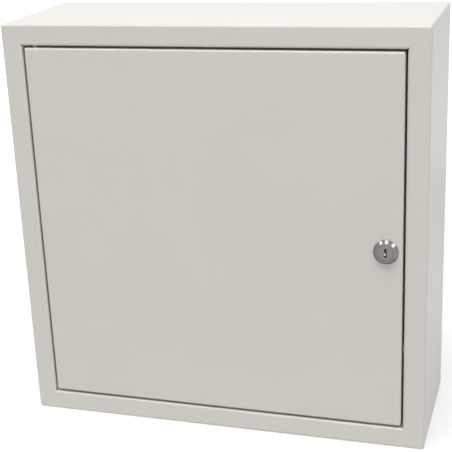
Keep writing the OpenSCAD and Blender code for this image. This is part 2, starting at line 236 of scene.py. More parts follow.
@dataclass(frozen=True)
class PowderCoat(Finish):
    """Polyester powder coat, sprayed and baked on steel.

    It gives the eye a semi-gloss skin with a soft orange peel: broad highlights that are
    slightly mottled, over a colour that is even but for a faint cloudiness.

    Args:
        relief: Width and height of the sheet's slow waves, of a dimple of the orange peel,
            and of the powder's own grain, drawn coarser than real so that it shows.
        cloud: Width of a patch of the faint cloudiness.
    """

    relief: tuple[Pair, ...] = ((120.0, 0.12), (2.6, 0.010), (0.6, 0.002))
    cloud: float = 60.0

    def material(self) -> Material:
        """Makes the finish as a material.

        Returns:
            The material.
        """
        material, tree, where = self.start()
        inputs = {
            "Base Color": self.drift(tree, where, self.cloud),
            "Roughness": self.roughness,
        }
        under = {}
        for width, height in self.relief:
            noise = {"Vector": where, "Scale": scale_of(width), "Detail": 1.0}
            bump = {"Height": put(tree, "TexNoise", noise)["Fac"], "Distance": height * MM}
            under = {"Normal": put(tree, "Bump", bump | under)["Normal"]}
        return self.shaded(material, inputs | under)


@dataclass(frozen=True)
class PlatedMetal(Finish):
    """Metal with a thin electroplated skin, such as bright zinc or satin chrome.

    It gives the eye soft reflections with small clouds in their blur, and a faint tint
    that wanders from patch to patch.

    Args:
        cloud: Width of a cloud.
        blur_range: How far the roughness strays to each side.
        pit: Width of the skin's small unevenness.
        pit_height: Its height.
    """

    cloud: float = 5.0
    blur_range: float = 0.06
    pit: float = 0.35
    pit_height: float = 0.0015

    def material(self) -> Material:
        """Makes the finish as a material.

        Returns:
            The material.
        """
        material, tree, where = self.start()
        noise = {"Vector": where, "Scale": scale_of(self.cloud), "Detail": 4.0}
        blur = {
            "Value": put(tree, "TexNoise", noise)["Fac"],
            **NOISE_SPAN,
            "To Min": self.roughness - self.blur_range,
            "To Max": self.roughness + self.blur_range,
        }
        pits = {"Vector": where, "Scale": scale_of(self.pit), "Detail": 2.0}
        bump = {"Height": put(tree, "TexNoise", pits)["Fac"], "Distance": self.pit_height * MM}
        inputs = {
            "Metallic": 1.0,
            "Base Color": self.drift(tree, where, self.cloud),
            "Roughness": put(tree, "MapRange", blur)["Result"],
            "Normal": put(tree, "Bump", bump)["Normal"],
        }
        return self.shaded(material, inputs)


@dataclass(frozen=True)
class GalvanisedSheet(Finish):
    """Hot-dip galvanised steel sheet.

    It gives the eye a matt grey metal with spangle: flat crystals a few millimetres
    across, each a little lighter or darker and more or less dull than the next.

    Args:
        spangle: Width of one crystal.
        blur_range: How much duller the dullest crystal is than the brightest.
    """

    spangle: float = 6.0
    blur_range: float = 0.16

    def material(self) -> Material:
        """Makes the finish as a material.

        Returns:
            The material.
        """
        material, tree, where = self.start()
        scale = scale_of(self.spangle)
        warp = put(tree, "TexNoise", {"Vector": where, "Scale": scale, "Detail": 4.0})["Color"]
        reach = {0: warp, 1: (self.spangle * MM,) * 3}
        spread = put(tree, "VectorMath", reach, operation="MULTIPLY")[0]
        bent = put(tree, "VectorMath", {0: where, 1: spread}, operation="ADD")[0]
        cells = put(tree, "TexVoronoi", {"Vector": bent, "Scale": scale})["Color"]
        grey = put(tree, "SeparateColor", {"Color": cells})
        blur = {
            "Value": grey[1],
            "To Min": self.roughness - self.blur_range / 2,
            "To Max": self.roughness + self.blur_range / 2,
        }
        inputs = {
            "Metallic": 1.0,
            "Base Color": self.blend(tree, grey[0]),
            "Roughness": put(tree, "MapRange", blur)["Result"],
        }
        return self.shaded(material, inputs)


@dataclass(frozen=True)
class MouldedPolymer(Finish):
    """Moulded nylon or rubber, or closed-cell foam.

    It gives the eye a dull skin with a fine grain, and in foam with open pores.

    Args:
        grain: Width of the grain or of a pore.
        grain_height: Its height.
        glow: How far light travels into the skin, as a share.
        cloud: Width of a patch of the colour.
    """

    grain: float = 0.5
    grain_height: float = 0.01
    glow: float = 0.0
    cloud: float = 8.0

    def material(self) -> Material:
        """Makes the finish as a material.

        Returns:
            The material.
        """
        material, tree, where = self.start()
        pores = put(tree, "TexVoronoi", {"Vector": where, "Scale": scale_of(self.grain)})
        bump = {"Height": pores["Distance"], "Distance": self.grain_height * MM}
        inputs = {
            "Base Color": self.drift(tree, where, self.cloud),
            "Roughness": self.roughness,
            "Subsurface Weight": self.glow,
            "Subsurface Scale": MM,
            "Normal": put(tree, "Bump", bump)["Normal"],
        }
        return self.shaded(material, inputs)


PAINT = PowderCoat("powder_coated_steel", Slot.PAINT, "#c9c7c0", "#c7c5be", 0.3)
GALVANISED = GalvanisedSheet(
    "galvanised_steel_sheet", Slot.GALVANISED, "#b4b8ba", "#9fa3a6", 0.42
)
ZINC = PlatedMetal("bright_zinc_plate", Slot.ZINC, "#c9ccce", "#b9bcb8", 0.30)
CHROME = PlatedMetal(
    "satin_chrome_die_casting", Slot.CHROME, "#868480", "#7e7c79", 0.2, cloud=3.0, blur_range=0.03
)
NICKEL = PlatedMetal("bright_nickel_silver", Slot.CHROME, "#d9d6cc", "#cdc9bd", 0.2)
NYLON = MouldedPolymer("natural_nylon", Slot.NYLON, "#d8d6cf", "#cfccc3", 0.5, glow=0.15)
RUBBER = MouldedPolymer("grey_rubber", Slot.RUBBER, "#8c8c88", "#7f7f7c", 0.75, grain=0.8)
FOAM = MouldedPolymer(
    "closed_cell_foam", Slot.FOAM, "#3b3b3b", "#303030", 0.9, grain=0.9, grain_height=0.12
)


@functools.cache
def material_of(finish: Finish) -> Material:
    """Gives a finish's material, made once."""
    return finish.material()


# ---- Shapes


def box_mm(node: str) -> tuple[Vector, Vector]:
    """Gives a CAD node's lowest and highest corners."""
    low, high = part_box(node)
    return low / MM, high / MM


def joint_mm(name: str) -> Vector:
    """Gives the point that a joint turns about."""
    found = next(joint for joint in frame["joints"] if joint["name"] == name)
    return Vector(found["pos_m"]) / MM


def mesh_from(bm: BMesh, name: str) -> bpy.types.Mesh:
    """Makes a mesh from a bmesh, which is freed."""
    mesh = bpy.data.meshes.new(name)
    bm.to_mesh(mesh)
    bm.free()
    return mesh


def add_object(name: str, data: bpy.types.ID) -> Object:
    """Adds an object to the scene."""
    made = bpy.data.objects.new(name, data)
    bpy.context.scene.collection.objects.link(made)
    return made


def up(height: float) -> Vector:
    """Gives the point of the Z axis at a height."""
    return Vector((0, 0, height))


def face_out(bm: BMesh) -> None:
    """Turns every face outwards."""
    bmesh.ops.recalc_face_normals(bm, faces=bm.faces)


def block(bm: BMesh, low: Vector, high: Vector) -> None:
    """Adds a box between two corners."""
    place = Matrix.Translation((low + high) / 2) @ Matrix.Diagonal((*(high - low), 1))
    bmesh.ops.create_cube(bm, size=1, matrix=place)


def bar(bm: BMesh, start: Vector, end: Vector, radius: float, steps: int = 48) -> None:
    """Adds a round bar between two points.

    Args:
        bm: The mesh to add to.
        start: The middle of one end.
        end: The middle of the other.
        radius: The bar's radius.
        steps: The number of sides.
    """
    axis = end - start
    turn = axis.to_track_quat("Z", "Y").to_matrix().to_4x4()
    bmesh.ops.create_cone(
        bm,
        cap_ends=True,
        segments=steps,
        radius1=radius,
        radius2=radius,
        depth=axis.length,
        matrix=Matrix.Translation((start + end) / 2) @ turn,
    )


def prism(outline: Sequence[Pair], low: float, high: float) -> BMesh:
    """Makes an upright prism over an outline.

    Args:
        outline: The corners in order, in the XY plane.
        low: Height of the base.
        high: Height of the top.

    Returns:
        The prism.
    """
    bm = bmesh.new()
    face = bm.faces.new([bm.verts.new((x, y, low)) for x, y in outline])
    top = bmesh.ops.extrude_face_region(bm, geom=[face])["geom"]
    rise = [v for v in top if isinstance(v, BMVert)]
    bmesh.ops.translate(bm, vec=(0, 0, high - low), verts=rise)
    face_out(bm)
    return bm


def spun(bm: BMesh, steps: int, rise: float = 0.0) -> None:
    """Turns a line once about Z, with a rise in a thread."""
    bmesh.ops.spin(
        bm,
        geom=bm.verts[:] + bm.edges[:],
        cent=(0, 0, 0),
        axis=(0, 0, 1),
        dvec=(0, 0, rise / steps),
        angle=math.tau,
        steps=steps,
        use_merge=not rise,
    )
    bmesh.ops.remove_doubles(bm, verts=bm.verts, dist=WELD)


def turned(profile: Sequence[Pair], steps: int, ring: bool = False) -> BMesh:
    """Makes a shape turned about Z.

    Args:
        profile: Points of radius and height. They start and end on the axis, or close on
            themselves in a ring.
        steps: The number of sides.
        ring: Whether the profile closes on itself.

    Returns:
        The shape.
    """
    bm = bmesh.new()
    points = [bm.verts.new((radius, 0, height)) for radius, height in profile]
    pairs = list(zip(points, points[1:]))
    if ring:
        pairs.append((points[-1], points[0]))
    for pair in pairs:
        bm.edges.new(pair)
    spun(bm, steps)
    face_out(bm)
    return bm


def thread(radius: float, pitch: float, low: float, high: float, steps: int = 20) -> BMesh:
    """Makes a threaded rod about Z, with flat ends.

    Args:
        radius: Outer radius of the thread.
        pitch: Rise of one turn.
        low: Height of the lower end.
        high: Height of the upper end.
        steps: Sides of one turn.

    Returns:
        The rod.
    """
    bm = bmesh.new()
    root = radius - 0.54 * pitch  # The depth of an ISO thread.
    # Radius, and height as a share of the pitch.
    shape = ((root, 0.0), (root, 0.15), (radius, 0.45), (radius, 0.6))
    spare = 1.5  # Turns past each end, which are cut off.
    turns = math.ceil((high - low) / pitch + 2 * spare)
    points = [
        bm.verts.new((edge, 0, low + (turn - spare + share) * pitch))
        for turn in range(turns)
        for edge, share in shape
    ]
    for pair in zip(points, points[1:]):
        bm.edges.new(pair)
    spun(bm, steps, pitch)
    slice_off(bm, up(low), up(-1))
    slice_off(bm, up(high), up(1))
    face_out(bm)
    return bm


def slice_off(bm: BMesh, point: Vector, away: Vector) -> None:
    """Cuts off what lies beyond a plane, and closes the cut.

    Args:
        bm: The mesh to cut.
        point: A point of the plane.
        away: The plane's normal, towards what goes.
    """
    parts = bm.verts[:] + bm.edges[:] + bm.faces[:]
    cut = bmesh.ops.bisect_plane(bm, geom=parts, plane_co=point, plane_no=away, clear_outer=True)
    rim = [e for e in cut["geom_cut"] if isinstance(e, BMEdge)]
    bmesh.ops.edgeloop_fill(bm, edges=rim)


def chamfer_tip(bm: BMesh, radius: float, tip: float, height: float) -> None:
    """Draws in the end of a rod about Z to a 45 degree chamfer.

    Args:
        bm: The rod.
        radius: Its radius.
        tip: Width of the chamfer.
        height: Height of the chamfered end.
    """
    for vert in bm.verts:
        limit = radius - tip + abs(height - vert.co.z)
        away = math.hypot(vert.co.x, vert.co.y)
        if away > limit:
            vert.co.x *= limit / away
            vert.co.y *= limit / away


def bevel(
    bm: BMesh, edges: Sequence[BMEdge], width: float, steps: int, clamp: bool = False
) -> None:
    """Rounds edges.

    Args:
        bm: The mesh.
        edges: Its edges to round.
        width: How far the rounding reaches from an edge.
        steps: Facets of the rounding.
        clamp: Whether the rounding stays short of its neighbours.
    """
    bmesh.ops.bevel(
        bm,
        geom=edges,
        offset=width,
        segments=steps,
        profile=0.5,
        affect="EDGES",
        material=-1,
        clamp_overlap=clamp,
    )


def rounded(bm: BMesh, width: float, steps: int = 2, angle: float = 35.0) -> BMesh:
    """Rounds the edges that turn by more than an angle.

    Args:
        bm: The mesh.
        width: How far the rounding reaches from the edge.
        steps: Facets of the rounding.
        angle: The smallest turn that is rounded, in degrees.

    Returns:
        The same mesh.
    """
    bm.normal_update()
    least = math.radians(angle)
    sharp = [e for e in bm.edges if e.is_manifold and e.calc_face_angle(0.0) > least]
    bevel(bm, sharp, width, steps, clamp=True)
    return bm


def slotted(head: BMesh, radius: float, top: float) -> BMesh:
    """Cuts a screwdriver slot across a head about Z.

    Args:
        head: The head, which is freed.
        radius: Its radius.
        top: Height of its top.

    Returns:
        The head with its slot.
    """
    width, depth = DRIVER_SLOT
    reach = radius + 2 * PAST
    tool = bmesh.new()
    block(tool, Vector((-reach, -width / 2, top - depth)), Vector((reach, width / 2, top + PAST)))
    return cut_out(head, tool)


def put_in_place(bm: BMesh, place: Matrix) -> BMesh:
    """Moves a whole mesh to its place."""
    bmesh.ops.transform(bm, matrix=place, verts=bm.verts)
    return bm


def joined(parts: Sequence[BMesh]) -> BMesh:
    """Joins meshes into one.

    Args:
        parts: The meshes, which are freed.

    Returns:
        One mesh of them all.
    """
    whole = bmesh.new()
    for part in parts:
        mesh = mesh_from(part, "part")
        whole.from_mesh(mesh)
        bpy.data.meshes.remove(mesh)
    return whole


def worked(bm: BMesh, *modifiers: tuple[str, dict]) -> BMesh:
    """Runs modifiers over a mesh and gives the result.

    Args:
        bm: The mesh, which is freed.
        *modifiers: The type and the settings of each modifier.

    Returns:
        The mesh after the modifiers.
    """
    blank = add_object("blank", mesh_from(bm, "blank"))
    for kind, settings in modifiers:
        set_all(blank.modifiers.new(kind, kind), settings)
    bpy.context.view_layer.update()
    result = bmesh.new()
    result.from_object(blank, bpy.context.evaluated_depsgraph_get())
    bpy.data.meshes.remove(blank.data)  # The object goes with it.
    return result


def walled(bm: BMesh, thickness: float) -> BMesh:
    """Gives an outer skin its wall, inwards and of even thickness.

    Args:
        bm: The skin, which is freed.
        thickness: The wall's thickness.

    Returns:
        The solid.
    """
    even = {"offset": -1, "use_even_offset": True, "use_quality_normals": True}
    return worked(bm, ("SOLIDIFY", {"thickness": thickness, **even}))


def cut_out(bm: BMesh, *tools: BMesh) -> BMesh:
    """Takes shapes out of a solid, one after the other.

    Args:
        bm: The solid, which is freed.
        *tools: The shapes to take out, which are freed too.

    Returns:
        What is left.
    """
    cutters = [add_object("tool", mesh_from(tool, "tool")) for tool in tools]
    how = {"operation": "DIFFERENCE", "solver": "EXACT"}
    result = worked(bm, *(("BOOLEAN", {**how, "object": cutter}) for cutter in cutters))
    for cutter in cutters:
        bpy.data.meshes.remove(cutter.data)
    return result


def deliver(
    name: str, bm: BMesh, body: Body, finish: Finish, *stands_for: str, crease: float = 32.0
) -> None:
    """Turns a mesh into a finished piece.

    Args:
        name: The piece's name.
        bm: Its mesh, which is freed.
        body: The body that it rides on.
        finish: Its finish.
        *stands_for: The CAD nodes that it replaces.
        crease: The smallest turn that is shown as a sharp edge, in degrees.
    """
    bmesh.ops.scale(bm, vec=(MM, MM, MM), verts=bm.verts)
    mesh = mesh_from(bm, name)
    mesh.shade_smooth()
    mesh.set_sharp_from_angle(angle=math.radians(crease))
    mesh.materials.append(material_of(finish))
    piece = add_object(name, mesh)
    piece.modifiers.new("weighted", "WEIGHTED_NORMAL").keep_sharp = True
    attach(piece, body.value)
    if stands_for:
        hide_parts(*stands_for)
    LOG.info("%s: %d faces, %s", name, len(mesh.polygons), finish.name)


def refined(node: str, body: Body, finish: Finish, edge: float = 0.12, steps: int = 2) -> None:
    """Makes a piece from a copy of a CAD node, with its edges rounded.

    Args:
        node: The CAD node.
        body: The body that it rides on.
        finish: Its finish.
        edge: How far the rounding reaches.
        steps: Facets of the rounding.
    """
    bm = bmesh.new()
    bm.from_mesh(frame["nodes"][node].data)
    bmesh.ops.scale(bm, vec=(1 / MM, 1 / MM, 1 / MM), verts=bm.verts)
    bmesh.ops.remove_doubles(bm, verts=bm.verts, dist=CAD_WELD)
    flat = math.radians(0.5)
    bmesh.ops.dissolve_limit(bm, angle_limit=flat, verts=bm.verts, edges=bm.edges)
    deliver(node + "_piece", rounded(bm, edge, steps), body, finish, node)


# ---- Sheet-metal casing


@dataclass
class Casing:
    """The body of folded sheet, its back panel and its door stops.

    Args:
        sheet: Thickness of the sheet.
        fold: Outer radius of a fold.
        gap: Width of the gap round the door.
        lip: Depth of the lip round the opening.
        relief: Radius of the notch where two lips meet.
        slit: Length, half width and depth of the unfilled end of each mitre in the rim.
        facets: Facets of a fold.
        pin_hole: Radius of the holes for the hinge pins.
        entry: Half the width of the cable entry, and its distance from front and wall.
        wall_hole: Distance of the wall holes from the middle, and their radius.
        buffer: Height of a rubber buffer, and how far its edges are rounded.
    """

    sheet: float = 1.2
    fold: float = 2.2
    gap: float = 2.0
    lip: float = 15.0
    relief: float = 0.8
    slit: Triple = (7.0, 0.12, 0.35)
    facets: int = 8
    pin_hole: float = 2.6
    entry: Pair = (120.0, 35.0)
    wall_hole: Pair = (163.0, 4.5)
    buffer: Pair = (4.5, 0.7)

    def pan(self, low: Vector, high: Vector, open_side: int) -> BMesh:
        """Makes the outer skin of a shallow pan with rounded folds.

        Args:
            low: Its lowest corner.
            high: Its highest corner.
            open_side: 1 where it opens towards the wall, -1 where it opens to the front.

        Returns:
            The skin.
        """
        bm = bmesh.new()
        block(bm, low, high)
        bm.normal_update()
        mouth = [f for f in bm.faces if f.normal.y * open_side > FACING]
        bmesh.ops.delete(bm, geom=mouth, context="FACES_ONLY")
        bevel(bm, [e for e in bm.edges if e.is_manifold], self.fold, self.facets)
        face_out(bm)
        bm.normal_update()
        return bm

    def opening(self) -> float:
        """Gives half the width of the door's opening."""
        return box_mm("door_panel")[1].x + self.gap

    def shell(self) -> None:
        """Makes the body: walls, front rim and lip, with its notches and holes."""
        low, high = box_mm("body_shell")
        opening = self.opening()
        bm = self.pan(low, high, 1)
        face = max((f for f in bm.faces if f.normal.y < -FACING), key=lambda f: f.calc_area())
        inset = high.x - self.fold - opening
        evenly = {"use_even_offset": True, "use_boundary": True}
        bmesh.ops.inset_region(bm, faces=[face], thickness=inset, **evenly)
        around = face.edges[:]
        bmesh.ops.delete(bm, geom=[face], context="FACES_ONLY")
        made = bmesh.ops.extrude_edge_only(bm, edges=around)["geom"]
        inner = [v for v in made if isinstance(v, BMVert)]
        bmesh.ops.translate(bm, vec=(0, self.lip, 0), verts=inner)
        face_out(bm)

        def on_rim(vert: BMVert) -> bool:
            """Tells whether a point lies where the rim turns into the lip."""
            out = max(abs(vert.co.x), abs(vert.co.z))
            return abs(vert.co.y - low.y) < ON_LINE and abs(out - opening) < ON_LINE

        rim = [e for e in bm.edges if all(on_rim(v) for v in e.verts)]
        bevel(bm, rim, self.fold, self.facets)
        bmesh.ops.remove_doubles(bm, verts=bm.verts, dist=WELD)
        bm = cut_out(walled(bm, self.sheet), self.openings(), self.slits())
        deliver("body_casing", bm, Body.ENCLOSURE, PAINT, "body_shell")

    def openings(self) -> BMesh:
        """Makes what is cut out of the shell: lip notches, pin holes and cable entry.

        Returns:
            The shapes to cut out.
        """
        holes = bmesh.new()
        low, opening = box_mm("body_shell")[0], self.opening()
        pin = joint_mm("door_hinge")
        for side, other in CORNERS:
            corner = Vector((side * opening, low.y - PAST, other * opening))
            end = corner + Vector((0, self.lip + 2 * PAST, 0))
            bar(holes, corner, end, self.relief, steps=24)
        for side in (-1, 1):
            start = Vector((pin.x, pin.y, side * (opening - PAST)))
            end = start + up(side * (self.sheet + 2 * PAST))
            bar(holes, start, end, self.pin_hole, steps=32)
        half, near = self.entry
        left = Vector((-half, low.y + near, low.z - PAST))
        block(holes, left, Vector((half, -near, low.z + self.sheet + PAST)))
        return holes

    def slits(self) -> BMesh:
        """Makes the four unfilled mitre ends in the rim.

        Returns:
            The shapes to cut out.
        """
        front = box_mm("body_shell")[0].y
        length, half, depth = self.slit
        start = math.sqrt(2) * self.opening()
        parts = []
        for quarter in range(4):
            part = bmesh.new()
            low = Vector((start - PAST, front - PAST, -half))
            block(part, low, Vector((start + length, front + depth, half)))
            turn = Matrix.Rotation(math.radians(45 + 90 * quarter), 4, "Y")
            parts.append(put_in_place(part, turn))
        return joined(parts)

    def back(self) -> None:
        """Makes the back panel with its wall holes."""
        bm = walled(self.pan(*box_mm("back_panel"), -1), self.sheet)
        away, radius = self.wall_hole
        through = Vector((0, self.sheet + 2 * PAST, 0))
        holes = bmesh.new()
        for side, other in CORNERS:
            start = Vector((side * away, -self.sheet - PAST, other * away))
            bar(holes, start, start + through, radius)
        deliver("rear_panel", cut_out(bm, holes), Body.ENCLOSURE, PAINT, "back_panel")

    def buffers(self) -> None:
        """Makes the two rubber buffers on the door stops."""
        low, high = box_mm("stop_buffers")
        height, rounding = self.buffer
        bm = bmesh.new()
        for side in (-1, 1):
            ends = sorted((side * (high.z - height), side * high.z))
            block(bm, Vector((low.x, low.y, ends[0])), Vector((high.x, high.y, ends[1])))
        bm = rounded(bm, rounding, steps=3)
        deliver("rubber_buffers", bm, Body.ENCLOSURE, RUBBER, "stop_buffers")

    def build(self) -> None:
        """Makes the casing's pieces."""
        self.shell()
        self.back()
        self.buffers()
        refined("door_stops", Body.ENCLOSURE, PAINT, edge=0.15)


# ---- Door and hinges


@dataclass
class Door:
    """The door of folded sheet.

    Args:
        casing: The casing, whose sheet and folds the door shares.
        bush_hole: Radius of the holes for the hinge bushes.
        lock_hole: Radius of the lock's hole, and half the width across its flats.
    """

    casing: Casing
    bush_hole: float = 3.1
    lock_hole: Pair = (9.6, 8.1)

    def build(self) -> None:
        """Makes the door with its holes."""
        low, high = box_mm("door_panel")
        sheet = self.casing.sheet
        bm = walled(self.casing.pan(low, high, 1), sheet)
        pin = joint_mm("door_hinge")
        lock = joint_mm("lock_turn")
        radius, flat = self.lock_hole
        hole = bmesh.new()
        front = Vector((lock.x, low.y - PAST, lock.z))
        bar(hole, front, Vector((lock.x, low.y + sheet + PAST, lock.z)), radius)
        for side in (-1, 1):
            slice_off(hole, Vector((lock.x + side * flat, 0, 0)), Vector((side, 0, 0)))
        bushes = bmesh.new()
        for side in (-1, 1):
            start = Vector((pin.x, pin.y, side * (high.z - sheet - PAST)))
            bar(bushes, start, start + up(side * (sheet + 2 * PAST)), self.bush_hole)
        deliver("door_leaf", cut_out(bm, hole, bushes), Body.DOOR, PAINT, "door_panel")


@dataclass
class Hinges:
    """The two pivot pins and their bushes.

    Args:
        journal: Radius of the plain journal.
        play: Clearance of the journal in its bush.
        above: How far above the door the thread starts.
        head: Radius and height of the slotted head.
        bush: Outer radius of a bush.
        flange: Radius and thickness of its flange.
        spigot: Height of the bush above its flange.
    """

    journal: float = 2.0
    play: float = 0.05
    above: float = 0.3
    head: Pair = (4.0, 3.0)
    bush: float = 3.05
    flange: Pair = (3.85, 1.2)
    spigot: float = 1.2

    def pin(self) -> BMesh:
        """Makes the upper pin about Z.

        Returns:
            The pin.
        """
        low, high = (corner.z for corner in box_mm("upper_hinge_pin"))
        shoulder = box_mm("door_panel")[1].z + self.above
        radius, height = self.head
        neck = high - height
        side = self.journal
        plain = turned([(0, low), (side, low), (side, shoulder), (0, shoulder)], steps=32)
        screw = thread(*M5, shoulder, neck)
        top = turned([(0, neck), (radius, neck), (radius, high), (0, high)], steps=40)
        top = slotted(rounded(top, 0.35, steps=3), radius, high)
        return joined([rounded(plain, 0.3), screw, top])

    def sleeve(self) -> BMesh:
        """Makes the upper bush about Z.

        Returns:
            The bush.
        """
        low, high = (corner.z for corner in box_mm("upper_hinge_bush"))
        bore, bush = self.journal + self.play, self.bush
        flange, thick = self.flange
        over = high - self.spigot
        under = over - thick
        outside = [(bush, low), (bush, under), (flange, under), (flange, over), (bush, over)]
        profile = [(bore, low), *outside, (bush, high), (bore, high)]
        return rounded(turned(profile, steps=48, ring=True), 0.15)

    def build(self) -> None:
        """Makes the pins and bushes, the lower ones as mirror images."""
        axis = joint_mm("door_hinge")
        for end, side in (("upper", 1), ("lower", -1)):
            place = Matrix.Translation((axis.x, axis.y, 0)) @ Matrix.Diagonal((1, 1, side, 1))
            for kind, shape, body, finish in (
                ("pin", self.pin, Body.ENCLOSURE, ZINC),
                ("bush", self.sleeve, Body.DOOR, NYLON),
            ):
                bm = put_in_place(shape(), place)
                face_out(bm)
                deliver(f"{end}_pivot_{kind}", bm, body, finish, f"{end}_hinge_{kind}")
        refined("hinge_nuts", Body.ENCLOSURE, ZINC)


# ---- Studs, nuts and plates inside


@dataclass
class Fittings:
    """The mounting plate, the gland plate, the earthing and all their fasteners.

    Args:
        tip: Width of the chamfer at a stud's tip.
    """

    tip: float = 0.6

    def studs(self, node: str, body: Body, along: int, away: int, size: Pair) -> None:
        """Makes a group of threaded studs in place of a CAD node.

        Args:
            node: The CAD node with the group.
            body: The body that they ride on.
            along: The axis that the studs follow: 1 for Y, 2 for Z.
            away: The side that their tips point to: 1 or -1.
            size: Outer radius and pitch of the thread.
        """
        low, high = box_mm(node)
        length = high[along] - low[along]
        stud = thread(*size, 0, length)
        chamfer_tip(stud, size[0], self.tip, length)
        tip = Vector()
        tip[along] = away
        turn = tip.to_track_quat("Z", "Y").to_matrix().to_4x4()
        base = low[along] if away > 0 else high[along]
        parts = []
        for spot in spots_of(node):
            place = spot.copy()
            place[along] = base
            parts.append(put_in_place(stud.copy(), Matrix.Translation(place) @ turn))
        stud.free()
        deliver(node + "_threaded", joined(parts), body, ZINC, node, crease=40)

    def build(self) -> None:
        """Makes the fittings' pieces."""
        refined("mounting_plate", Body.ENCLOSURE, GALVANISED, edge=0.3)
        refined("gland_plate", Body.ENCLOSURE, GALVANISED, edge=0.2)
        refined("gland_seal", Body.ENCLOSURE, FOAM, edge=0.25)
        self.studs("plate_studs", Body.ENCLOSURE, 1, -1, M6)
        self.studs("body_earth_stud", Body.ENCLOSURE, 1, -1, M6)
        self.studs("door_earth_stud", Body.DOOR, 1, 1, M6)
        self.studs("gland_studs", Body.ENCLOSURE, 2, 1, M5)
        plate = ("plate_spacers", "plate_washers", "plate_nuts")
        others = ("body_earth_washer", "body_earth_nut", "gland_washers", "gland_nuts")
        for node in plate + others:
            refined(node, Body.ENCLOSURE, ZINC)
        for node in ("door_earth_washer", "door_earth_nut"):
            refined(node, Body.DOOR, ZINC)


def spots_of(node: str) -> list[Vector]:
    """Finds the separate solids of a CAD node.

    Args:
        node: The node.

    Returns:
        The middle of each solid, in order of place.
    """
    bm = bmesh.new()
    bm.from_mesh(frame["nodes"][node].data)
    bmesh.ops.remove_doubles(bm, verts=bm.verts, dist=CAD_WELD * MM)
    left = set(bm.verts)
    spots = []
    while left:
        island, grow = set(), {left.pop()}
        while grow:
            vert = grow.pop()
            island.add(vert)
            beside = (edge.other_vert(vert) for edge in vert.link_edges)
            grow.update(other for other in beside if other not in island)
        left -= island
        lowest, highest = (
            Vector([pick(v.co[i] for v in island) for i in range(3)]) for pick in (min, max)
        )
        spots.append((lowest + highest) / 2 / MM)
    bm.free()
    return sorted(spots, key=lambda spot: tuple(round(value, 1) for value in spot))


# ---- Lock


